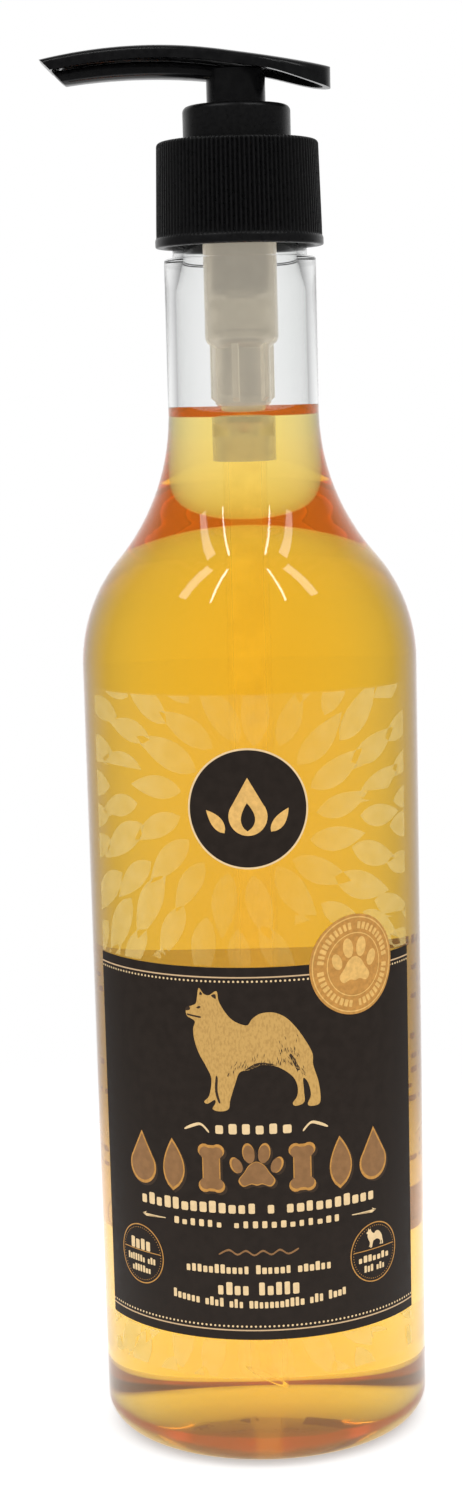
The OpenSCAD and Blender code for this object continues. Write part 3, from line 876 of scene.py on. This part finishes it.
def make_symbol_row():
    """Seven grooming symbols, each with a shadow, a light rim and a bronze face."""
    row = ((-24.0, "drop"), (-16.4, "leaf"), (-8.6, "bone"), (0.0, "paw"), (8.6, "bone"), (16.4, "leaf"),
           (24.0, "drop"))
    z = 59.4
    layers = (("symbol_shadows", 1.14, 0.45, INK_SHADOW), ("symbol_rims", 1.14, 0.0, INK_GOLD),
              ("symbol_faces", 1.0, 0.0, INK_BRONZE))
    for lift, (name, scale, shift, material) in zip(SYMBOL_LIFTS, layers):
        loops = []
        for s, kind in row:
            if kind == "drop":
                loops.append(moved(drop_loop(0, 0, 0.98 * scale), s + shift, z - shift))
            elif kind == "leaf":
                loops.append(moved(leaf_loop(0, 0, 90, 9.0 * scale, 4.2 * scale), s + shift, z - shift))
            elif kind == "bone":
                loops.append(bone_loop(s + shift, z - shift, 1.2 * scale, 90))
            else:
                loops += paw_loops(s + shift, z - 0.3 - shift, 1.1 * (1 + 0.6 * (scale - 1)))
        printed(name, loops, material, lift)


def make_badges(rng):
    """Two round badges: rows of blocks in the left one, the dog over rows in the right one."""
    rings, dots, rows = [], [], []
    z = 40.2
    for s, upper, lower in ((-25.3, [7, 3], [7]), (24.0, [7], [3, 3])):
        rings += ring_loops(s, z, 5.9, 5.68) + [box_loop(s - 5.1, z + 0.55, s + 5.1, z + 0.72)]
        dots += [circle_loop(p, q, 0.09, 8) for p, q in circle_loop(s, z, 5.2, 60)]
        rows += block_row(z - 1.0, 1.35, s - 4.0, s + 4.0, upper, rng)
        rows += block_row(z - 3.0, 1.35, s - 2.7, s + 2.7, lower, rng)
    rows += block_row(42.1, 2.2, -28.2, -22.4, [4], rng)
    rows.append(moved(smooth_loop(DOG, 3), 21.9, 41.2, 0.16))
    printed("badge_rings", rings, INK_GOLD)
    printed("badge_dots", dots, INK_GOLD)
    printed("badge_rows", rows, INK_CREAM)


def make_medallion(rng):
    """A gold seal over the panel's upper edge, with rings of ticks and a paw."""
    s, z = 20.2, 96.9
    printed("seal_disc", [circle_loop(s, z, 9.5, 96)], INK_GOLD, SEAL_LIFT, thick=0.07)
    printed("seal_rings", ring_loops(s, z, 9.05, 8.8, 96), INK_LIGHT_GOLD, SEAL_TOP_LIFT)
    printed("seal_inner_ring", ring_loops(s, z, 6.05, 5.85, 96), INK_LIGHT_GOLD, SEAL_TOP_LIFT)
    ticks = []
    # a ring of 44 places, with a gap at each quarter
    for k in [k for k in range(44) if k % 11]:
        a = 2 * pi * k / 44
        width, tall = rng.uniform(0.55, 0.8), 1.35
        block = box_loop(-width / 2, -tall / 2, width / 2, tall / 2, 0.12, 2)
        ticks.append(moved(block, s + 7.4 * cos(a), z + 7.4 * sin(a), 1.0, degrees(a) - 90))
    printed("seal_ticks", ticks, INK_LIGHT_GOLD, SEAL_TOP_LIFT)
    printed("seal_paw", paw_loops(s, z - 0.2, 1.18), INK_LIGHT_GOLD, SEAL_TOP_LIFT)


def make_front_printing():
    rng = random.Random(7)
    make_leaves(rng)
    make_emblem()
    make_dog(rng)
    make_small_row(rng)
    make_symbol_row()
    make_text_rows(rng)
    make_badges(rng)
    make_medallion(rng)


def make_back_printing():
    """Rows of blocks, a striped card and three small symbols in rings."""
    rng = random.Random(11)
    left, head_h, text_h = -27, 1.5, 1.3
    rows = []
    for z, height, words in ((91.5, 2.2, [8, 6]), (85.6, text_h, [5, 7, 6, 4]), (82.6, text_h, [7, 3, 8, 5]),
                             (79.6, text_h, [4, 6, 5, 7]), (76.6, text_h, [6, 6]), (71.4, 1.8, [7, 5]),
                             (67.0, text_h, [6, 4, 7, 5]), (64.0, text_h, [3, 8, 4, 6]),
                             (61.0, text_h, [7, 5, 8]), (58.0, text_h, [5, 5]), (52.8, 1.8, [6, 4]),
                             (48.4, text_h, [7, 6, 4, 5]), (45.4, text_h, [4, 7, 6, 4])):
        length = min(1.0, (sum(words) + 2) / 24) * 54 if height < head_h else sum(words) * 1.35
        rows += block_row(z, height, left, left + length, words, rng)
    printed("back_rows", rows, INK_CREAM, **BACK_SIDE)

    bars = []
    at = -26.5
    while at < -9:
        width = rng.choice((0.3, 0.3, 0.6, 0.9))
        bars.append(box_loop(at, 30.9, at + width, 38.2))
        at += width + rng.choice((0.35, 0.35, 0.7))
    printed("back_stripe_card", [box_loop(-28, 29.9, -7.5, 39.2, 0.5)], INK_CREAM, **BACK_SIDE)
    printed("back_stripes", bars, INK_DARK, TOP_LIFT, **BACK_SIDE)

    rings = [loop for s in (4.0, 14.0, 24.0) for loop in ring_loops(s, 34.5, 4.0, 3.75)]
    printed("back_rings", rings, INK_GOLD, **BACK_SIDE)
    symbols = [drop_loop(4.0, 34.3, 0.55)] + paw_loops(14.0, 34.4, 0.62)
    symbols.append(leaf_loop(24.0, 34.5, 60, 5.4, 2.4))
    printed("back_symbols", symbols, INK_CREAM, **BACK_SIDE)


# ---- closure
RIBS = 110


def make_closure():
    """Ribbed cap: smooth flared lip, fine ribs that fade at both ends, round shoulder, thread inside."""
    segments, z0, z1 = RIBS * 10, CLOSURE_Z0, CLOSURE_Z1
    depth, rib_foot, rib_top = 0.42, z0 + 2.1, z1 - 0.9
    lip_r, low_r, top_r, bore_r, hole_r = 15.7, 15.5, 15.05, 13.95, 7.72
    plate_z = z1 - 1.5
    # radius, height and how deep the grooves between the ribs are there
    outline = [(bore_r + 0.3, z0, 0), (lip_r - 0.3, z0, 0), (lip_r - 0.08, z0 + 0.1, 0),
               (lip_r, z0 + 0.3, 0), (lip_r, z0 + 1.2, 0), (lip_r - 0.06, z0 + 1.5, 0),
               (low_r + 0.02, z0 + 1.75, 0.05), (low_r - 0.01, z0 + 1.9, 0.5),
               (low_r - 0.02, rib_foot, 1.0)]
    outline += [(low_r + (top_r - low_r) * t, rib_foot + (rib_top - rib_foot) * t, 1.0)
                for t in (0.1, 0.3, 0.5, 0.7, 0.9)]
    shoulder = arc(top_r - 0.8, rib_top + 0.1, 0.8, 0, 90, 8)
    outline += [(r, z, 1.0 - 0.12 * i) for i, (r, z) in enumerate(shoulder)]
    outline += [(8.6, z1, 0), (7.9, z1 - 0.1, 0), (hole_r, z1 - 0.3, 0),
                (hole_r, plate_z, 0), (bore_r - 0.4, plate_z, 0), (bore_r, plate_z - 0.4, 0),
                (bore_r, z0 + 0.3, 0)]
    rings = []
    for r, z, share in outline:
        grooves = [depth * share * (0.5 - 0.5 * cos(RIBS * a)) ** 1.6 for a in angles(segments)]
        rings.append([polar(r - groove, a, z) for groove, a in zip(grooves, angles(segments))])
    rings.append(rings[0])
    mesh = outward(lofted("closure_cap", rings, caps=False), 1e-5)
    finish_mesh("closure_cap", mesh, "screw_closure", "closure", CAP_BLACK, True, sharp=55)
    mesh = thread_mesh("closure_thread", bore_r, ROOT_R + 0.3 - bore_r, 1.6, 0.8, THREAD_Z - 1.6,
                       THREAD_TURNS - 0.15)
    finish_mesh("closure_thread", mesh, "screw_closure", "closure", CAP_BLACK)


# ---- head of the pump
CREST_X, CREST_R = -17.0, 92.0
TAIL_SLOPE = 0.155
SLOPE_X = CREST_X + CREST_R * sin(atan(TAIL_SLOPE))
HEAD_W, TIP_W = 17.0, 9.0
WIDEST_X = 2.0
RIM, TAIL_DROP, DROP_X = 2.5, 1.3, 4.0
SKIN = 1.4


def crest_arc(x):
    return CREST_Z - CREST_R + sqrt(CREST_R ** 2 - (x - CREST_X) ** 2)


def top_z(x):
    return crest_arc(x) if x < SLOPE_X else crest_arc(SLOPE_X) - TAIL_SLOPE * (x - SLOPE_X)


def rim_z(x):
    return top_z(x) - RIM - TAIL_DROP * ease(x, DROP_X, TAIL_X)


def half_w(x, g=0.0):
    w = TIP_W / 2 - g + (HEAD_W - TIP_W) / 2 * ease(x, SPOUT_X, WIDEST_X + 4)
    if x > WIDEST_X:
        w *= max(0.0004, 1 - ((x - WIDEST_X) / (TAIL_X - WIDEST_X - g)) ** 2.4) ** 0.5
    return w


def crown(x, g, foot, n=28):
    """A crowned section, with its corners rounded, open along its foot."""
    w, h = half_w(x, g), top_z(x) - g - foot
    return [(x, -w * spow(cos(pi * i / n), 0.42), foot + h * spow(sin(pi * i / n), 0.42))
            for i in range(n + 1)]


def tip_x(point_at, n):
    """Where each line along the head meets the spout's slanted end."""
    tip_z = top_z(SPOUT_X)
    places = []
    for k in range(n):
        x = SPOUT_X
        for _ in range(12):
            x = SPOUT_X + tip_z - point_at(x)[k][2]
        places.append(x)
    return places


def make_head_shell():
    """The hollow cap of the head: an outer and an inner skin joined along the rim."""
    steps, inner_start = 56, SPOUT_X + 4.6
    outer_at = lambda x: crown(x, 0, rim_z(x))

    def inner_at(x):
        deep = ease(x, inner_start - 0.3, inner_start + 0.5)
        foot = rim_z(x)
        return [(p[0], p[1], foot + (p[2] - foot) * deep) for p in crown(x, SKIN, foot)]

    mesh = bpy.data.meshes.new("head_shell")
    verts, faces = [], []
    n = len(outer_at(0.0))
    for at, end_x in ((outer_at, TAIL_X), (inner_at, TAIL_X - SKIN)):
        starts = tip_x(at, n)
        for i in range(steps + 1):
            share = sin(radians(90 * i / steps))
            verts += [at(start + (end_x - start) * share)[k] for k, start in enumerate(starts)]
    inner = (steps + 1) * n
    for i in range(steps):
        a, b = i * n, (i + 1) * n
        for k in range(n - 1):
            faces.append((a + k, a + k + 1, b + k + 1, b + k))
            faces.append((inner + b + k, inner + b + k + 1, inner + a + k + 1, inner + a + k))
        faces.append((a, b, inner + b, inner + a))
        faces.append((b + n - 1, a + n - 1, inner + a + n - 1, inner + b + n - 1))
    last = steps * n
    faces.append(tuple(range(last, last + n)))
    faces.append(tuple(range(inner + last + n - 1, inner + last - 1, -1)))
    faces.append((last, last + n - 1, inner + last + n - 1, inner + last))
    # the slanted front face reaches from the outer skin to the foot line of the inner one
    for k in range(n - 1):
        faces.append((k, inner + k, inner + k + 1, k + 1))
    mesh.from_pydata(verts, [], faces)
    mesh = outward(mesh, 1e-4)
    piece = finish_mesh("head_shell", mesh, "head", "actuator_shell", HEAD_BLACK, True, sharp=40)
    soften(piece, 0.35)


def soften(piece, width_mm, segments=3):
    """Rounds a piece's sharp edges with a small bevel."""
    bevel = piece.modifiers.new("soft_edges", "BEVEL")
    bevel.width = width_mm * MM
    bevel.segments = segments
    bevel.limit_method = "ANGLE"
    bevel.angle_limit = radians(40)
    bevel.harden_normals = False


NOZZLE_W, NOZZLE_TIP_W = 6.6, 5.4
NOZZLE_FOOT_Z, NOZZLE_ARC_R = 258.9, 112.0
CHANNEL_R, CHANNEL_Z, CHANNEL_ARC_R = 0.95, 260.4, 100.0


def nozzle_ring(x, grow=0.0, n=32):
    w = (NOZZLE_W + (NOZZLE_TIP_W - NOZZLE_W) * x / SPOUT_X) / 2 + grow
    foot = NOZZLE_FOOT_Z - (x - CREST_X) ** 2 / 2 / NOZZLE_ARC_R
    h = (top_z(x) - RIM - 0.04 - foot) / 2
    return [(x, w * spow(cos(a), 0.7), foot + h + (h + grow) * spow(sin(a), 0.7)) for a in angles(n)]


def channel_ring(x, r, n=32):
    z = CHANNEL_Z - CHANNEL_ARC_R + sqrt(CHANNEL_ARC_R ** 2 - (x - CREST_X) ** 2)
    return [(x, r * cos(a), z + r * sin(a)) for a in angles(n)]


def make_nozzle():
    """The spout under the head's top, with the slanted mouth of its channel."""
    n = 32
    cut = lambda at: [at(x)[k] for k, x in enumerate(tip_x(at, n))]
    rings = [channel_ring(SPOUT_X + 9, CHANNEL_R)]
    rings.append(cut(lambda x: channel_ring(x, CHANNEL_R)))
    rings.append(cut(lambda x: channel_ring(x, CHANNEL_R + 0.12)))
    rings.append(cut(lambda x: nozzle_ring(x, -0.25)))
    starts = tip_x(nozzle_ring, n)
    for i in range(25):
        share = 0.004 + 0.996 * i / 24
        rings.append([nozzle_ring(start + (-1.0 - start) * share)[k] for k, start in enumerate(starts)])
    mesh = outward(lofted("spout_nozzle", rings))
    finish_mesh("spout_nozzle", mesh, "head", "actuator_core", HEAD_BLACK, True, sharp=50)


def sector(name, r0, r1, z0, z1, centre_a, angle, bevel=0.12):
    """A block of a ring."""
    steps = 18
    rings = []
    for i in range(steps + 1):
        a = radians(centre_a - angle / 2 + angle * i / steps)
        section = [(r0, z0), (r1 - bevel, z0), (r1, z0 + bevel), (r1, z1 - bevel), (r1 - bevel, z1), (r0, z1)]
        rings.append([polar(r, a, z) for r, z in section])
    return outward(lofted(name, rings))


def make_barrel():
    """The head's barrel, its bore and socket for the stem, and the two lock lugs."""
    barrel_r, bore_r, stem_r = 5.45, 4.3, 3.05
    foot_z, step_z, stem_top_z, roof_z = 221.0, 248.0, 256.1, 260.4
    profile = [(bore_r, foot_z), (barrel_r - 0.3, foot_z), (barrel_r, foot_z + 0.3), (barrel_r, roof_z - 0.3),
               (barrel_r - 0.3, roof_z), (0, roof_z), (0, stem_top_z), (stem_r, stem_top_z), (stem_r, step_z),
               (bore_r, step_z)]
    turned("head_barrel", profile, 96, "head", "actuator_core", HEAD_BLACK, whole=False)
    for k, name in enumerate(("lock_lug_right", "lock_lug_left")):
        mesh = sector(name, barrel_r - 0.4, 6.4, 247.9, 249.3, 180 * k, 60)
        finish_mesh(name, mesh, "head", "actuator_core", HEAD_BLACK)


def make_chaplet():
    """The lock collar round the barrel: a round-edged cap with two ledges under its rim."""
    r, seat_r, mouth_r, z0, z1, ledge_z = 10.0, 7.42, 6.8, CLOSURE_Z1 + 0.08, 253.8, 249.68
    profile = [(seat_r, z0), (r - 0.3, z0), (r, z0 + 0.3)] + arc(r - 1.1, z1 - 1.1, 1.1, 0, 90, 10)
    profile += [(mouth_r + 0.25, z1)] + arc(mouth_r + 0.25, z1 - 0.25, 0.25, 90, 180, 4)
    profile += [(mouth_r, ledge_z + 0.04), (seat_r, ledge_z)]
    turned("lock_collar", profile, 160, "pump", "chaplet", CAP_BLACK)
    for k, name in enumerate(("ledge_front", "ledge_back")):
        # a ledge's free edge is its inner one, so it is drawn from its outer radius inwards
        mesh = sector(name, 7.1, 5.75, ledge_z, ledge_z + 1.5, 270 - 180 * k, 106, -0.12)
        finish_mesh(name, mesh, "pump", "chaplet", CAP_BLACK)


def make_housing():
    """The pump's housing: dip tube holder, ball seat, finned spring chamber, cylinder, flange and collar."""
    socket_r, tail_r, chamber_r, wide_r, flange_r, collar_r = 3.12, 4.5, 5.3, 6.9, 13.3, 7.4
    hole_r, seat_r, cage_r, bore_r, guide_r = 1.6, 3.2, 4.3, 5.85, 6.8
    foot_z, chamber_z, cylinder_z, flange_z, rim = HOUSING_Z0, 200.0, 212.2, 244.94, HOUSING_Z1
    socket_z, seat_z, cage_z, guide_z = foot_z + 4.9, chamber_z - 3.8, chamber_z - 0.2, 247.4
    profile = [(socket_r, foot_z), (tail_r, foot_z), (tail_r, chamber_z - 0.8), (chamber_r, chamber_z),
               (chamber_r, cylinder_z - 2), (wide_r - 0.3, cylinder_z - 0.8), (wide_r, cylinder_z),
               (wide_r, flange_z - 0.34)]
    profile += arc(wide_r + 0.3, flange_z - 0.3, 0.3, 180, 90, 4)
    profile += [(flange_r - 0.2, flange_z), (flange_r, flange_z + 0.2), (flange_r, flange_z + 0.8),
                (flange_r - 0.2, flange_z + 1), (collar_r, flange_z + 1), (collar_r, rim - 0.16),
                (collar_r - 0.2, rim), (guide_r, rim), (guide_r, guide_z), (bore_r, guide_z),
                (bore_r, cylinder_z), (cage_r, cylinder_z), (cage_r, cage_z), (seat_r, cage_z),
                (seat_r, seat_z), (hole_r, seat_z - 1.6), (hole_r, socket_z), (socket_r, socket_z)]
    turned("pump_housing", profile, 128, "pump", "housing", MILKY)
    fin_r, fin_top_z = 6.15, cylinder_z - 1.3
    for k in range(6):
        a = radians(17 + 60 * k)
        rings = []
        # from one side face to the other, with the outer edge set in a little at both
        for across, edge_r in ((-0.6, fin_r - 0.1), (-0.48, fin_r), (0.48, fin_r), (0.6, fin_r - 0.1)):
            outline = ((5.0, chamber_z + 0.2), (5.2, chamber_z + 0.2), (edge_r, chamber_z + 1),
                       (edge_r, fin_top_z), (5.0, fin_top_z))
            rings.append([(r * cos(a) - across * sin(a), r * sin(a) + across * cos(a), z)
                          for r, z in outline])
        name = f"housing_fin_{k + 1}"
        skinned(name, rings, "pump", "housing", MILKY)


def make_dip_tube():
    """The long tube, cut on a slant at its foot."""
    slant = tan(radians(35))
    inner_r = TUBE_R - 0.8
    rings = []
    # up the outside and down the inside: foot, middle and top of each
    for r, share in ((TUBE_R, 0.0), (TUBE_R, 0.5), (TUBE_R, 1.0),
                     (inner_r, 1.0), (inner_r, 0.5), (inner_r, 0.0)):
        feet = [TUBE_Z0 - slant * (r * cos(a) - TUBE_R) for a in angles(64)]
        rings.append([polar(r, a, foot + (TUBE_Z1 - foot) * share) for foot, a in zip(feet, angles(64))])
    rings.append(rings[0])
    mesh = outward(lofted("dip_tube_clear", rings, caps=False), 1e-4)
    finish_mesh("dip_tube_clear", mesh, "pump", "dip_tube", TUBE, True)


def rounded(r0, r1, z0, z1, e):
    """The profile of a ring with its edges cut at 45 degrees."""
    return [(r0 + e, z0), (r1 - e, z0), (r1, z0 + e), (r1, z1 - e), (r1 - e, z1), (r0 + e, z1), (r0, z1 - e),
            (r0, z0 + e)]


def make_liner():
    turned("mouth_liner", rounded(7.2, 13.3, 243.92, 244.92, 0.15), 128, "pump", "gasket", FOAM)

def make_cage():
    """A ring with two crossed bars that keep the ball near its seat."""
    turned("cage_ring", rounded(3.3, 4.28, 199.82, 201.0, 0.1), 64, "pump", "ball_cage", WHITE)
    section = ((-0.5, 200.58), (0.5, 200.58), (0.5, 200.97), (0.0, 201.0), (-0.5, 200.97))
    for name, turn in (("cage_bar_a", 0), ("cage_bar_b", 90)):
        a = radians(turn)
        rings = [[(s * cos(a) - w * sin(a), s * sin(a) + w * cos(a), z) for w, z in section]
                 for s in (-3.5, -1.2, 1.2, 3.5)]
        skinned(name, rings, "pump", "ball_cage", WHITE)


def make_ball():
    low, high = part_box("ball")
    centre_z = (low.z + high.z) / 2 / MM
    ball_r = high.y / MM
    profile = arc(0, centre_z, ball_r, -90, 90, 36)
    profile[0] = (0, centre_z - ball_r)
    profile[-1] = (0, centre_z + ball_r)
    turned("steel_ball", profile, 64, "check_ball", "ball", BALL_STEEL, closed=False)


def make_stem():
    """The hollow stem, and the plug at its foot with the piston's lower seat."""
    turned("pump_stem", rounded(1.7, 3.0, 213.62, 256.0, 0.2), 64, "plunger", "stem", WHITE)
    profile = [(0, 210.4), (2.4, 210.4), (2.9, 211.0), (2.9, 212.4), (4.45, 212.4), (4.6, 212.55),
               (4.6, 213.45), (4.45, 213.6), (1.7, 213.6), (1.7, 215.0), (0, 215.08)]
    turned("stem_foot", profile, 64, "plunger", "stem_plug", WHITE, closed=False)


def make_piston():
    """A cup with lips that seal against the cylinder above and below its waist."""
    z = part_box("piston")[0].z / MM
    profile = [(3.05, 0.3), (3.35, 0), (4.3, 0), (4.5, 0.9), (5.3, 0.9), (5.3, 0.0), (5.8, 0), (5.8, 0.9),
               (4.65, 1.9), (4.65, 3.6), (5.8, 4.6), (5.8, 5.5), (5.3, 5.5), (4.1, 4.1), (4.1, 5.3),
               (3.05, 5.3)]
    turned("piston_cup", [(r, z + dz) for r, dz in profile], 96, "piston_ring", "piston", WHITE)


def make_spring():
    """A compression spring."""
    low, high = (v.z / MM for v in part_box("spring"))
    wire_r, mean_r, turns, per_turn, end_margin = 0.4, 3.72, 9, 36, 0.8
    rings = []
    steps = turns * per_turn
    for i in range(steps + 1):
        t = i / steps
        a = 2 * pi * turns * t
        z = low + wire_r + (high - low - 2 * wire_r) * t
        rings.append([polar(mean_r + wire_r * cos(b), a, z + wire_r * sin(b)) for b in angles(12)])
    mesh = outward(lofted("return_spring", rings))
    mesh.transform(Matrix.Scale(MM, 4))
    for polygon in mesh.polygons:
        polygon.use_smooth = True
    mesh.materials.append(SPRING_STEEL)
    piece = add_object("return_spring", mesh)
    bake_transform(piece)
    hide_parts("spring")


# ---- floor and light
def make_floor():
    """A white floor that fades into the white surround."""
    mesh = bpy.data.meshes.new("floor")
    rings = [0.02, 0.05, 0.1, 0.2, 0.4, 0.8, 1.6]
    n, z = 48, -0.0002
    verts = [(0, 0, z)] + [polar(r, a, z) for r in rings for a in angles(n)]
    faces = [(0, 1 + k, 1 + (k + 1) % n) for k in range(n)]
    for i in range(len(rings) - 1):
        a, b = 1 + i * n, 1 + (i + 1) * n
        faces += [(a + k, b + k, b + (k + 1) % n, a + (k + 1) % n) for k in range(n)]
    mesh.from_pydata(verts, [], faces)
    ground = add_object("floor", mesh)
    material = new_material("floor_white", (0.93, 0.93, 0.93), 0.6, Specular_IOR_Level=0.2,
                            Emission_Color=(1, 1, 1, 1), Emission_Strength=0.4)
    tree = material.node_tree
    place = add_node(tree, "TexCoord")
    length = add_node(tree, "VectorMath")
    length.operation = "LENGTH"
    fade = add_node(tree, "MapRange", From_Min=0.07, From_Max=0.30, To_Min=1.0, To_Max=0.0)
    fade.interpolation_type = "SMOOTHSTEP"
    wire(place, "Object", length, 0)
    wire(length, "Value", fade, "Value")
    wire(fade, "Result", shader_of(material), "Alpha")
    mesh.materials.append(material)


def make_lights():
    """Two narrow strips high in front and two soft boxes further round."""
    far, aim_z = 1.2, 0.16
    kinds = (("strip", 34, 58, (0.03, 0.55), 0.55), ("box", 62, 55, (0.13, 0.5), 0.75))
    for name, side_sign in (("left", -1), ("right", 1)):
        for kind, azimuth, elevation, size, watts in kinds:
            a, e = radians(side_sign * azimuth), radians(elevation)
            flat = far * cos(e)
            place = (flat * sin(a), -flat * cos(a), aim_z + far * sin(e))
            area_light(f"{kind}_{name}", place, (0, 0, aim_z), size, watts)


def set_up_scene():
    scene = bpy.context.scene
    scene.view_settings.view_transform = "Standard"
    scene.view_settings.look = "None"
    scene.cycles.max_bounces = 28
    scene.cycles.transmission_bounces = 28
    scene.cycles.glossy_bounces = 8
    scene.cycles.transparent_max_bounces = 24


# ---- the object
set_up_scene()
make_camera()
make_world()
make_floor()
make_lights()
make_bottle()
make_neck_thread()
make_liquid()
make_film()
make_front_panel()
make_back_panel()
make_front_printing()
make_back_printing()
make_closure()
make_chaplet()
make_head_shell()
make_nozzle()
make_barrel()
make_housing()
make_dip_tube()
make_liner()
make_cage()
make_ball()
make_stem()
make_piston()
make_spring()
